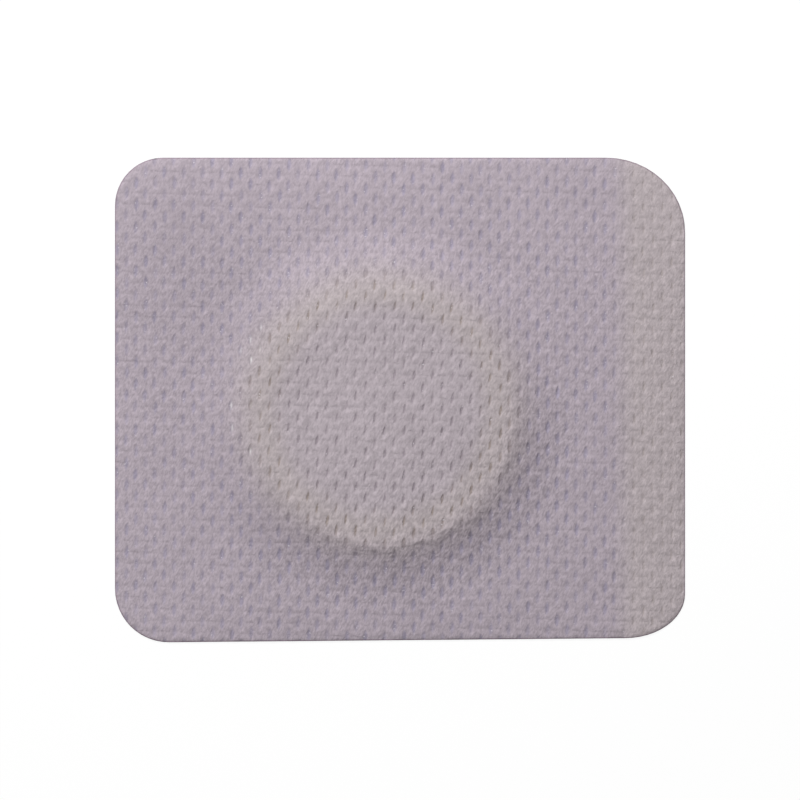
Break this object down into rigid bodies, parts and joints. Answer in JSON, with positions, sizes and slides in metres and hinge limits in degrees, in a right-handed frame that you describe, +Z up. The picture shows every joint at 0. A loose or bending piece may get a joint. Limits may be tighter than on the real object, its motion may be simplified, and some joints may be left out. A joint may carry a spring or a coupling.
{
  "type": "acupoint patch",
  "caption": "Adhesive patch of slotted nonwoven cloth over a round herbal pad in a foam ring, lying on its two-part release liner.",
  "frame": {"origin": "on the underside of the release liner, below the middle of the sheet's bounding rectangle", "axes": "+Z up through liner, pad and cloth; +X along the sheet's longer side, towards the liner's tear strip; +Y along the shorter side, away from the slightly slanted edge"},
  "size_m": [0.07, 0.0596, 0.0028],
  "materials": {
    "cloth": "matt spunlace nonwoven with pressed slots, thin enough for the liner's tint to show",
    "foam": "soft closed-cell foam, matt",
    "herbal": "pressed herbal pad, matt and fibrous",
    "film": "smooth siliconised film, faintly lavender",
    "paper": "smooth siliconised paper, warm white"
  },
  "bodies": {
    "root": {"release_liner": "film", "liner_tear_strip": "paper", "foam_ring": "foam", "herbal_pad": "herbal", "nonwoven_cloth": "cloth"}
  },
  "joints": []
}
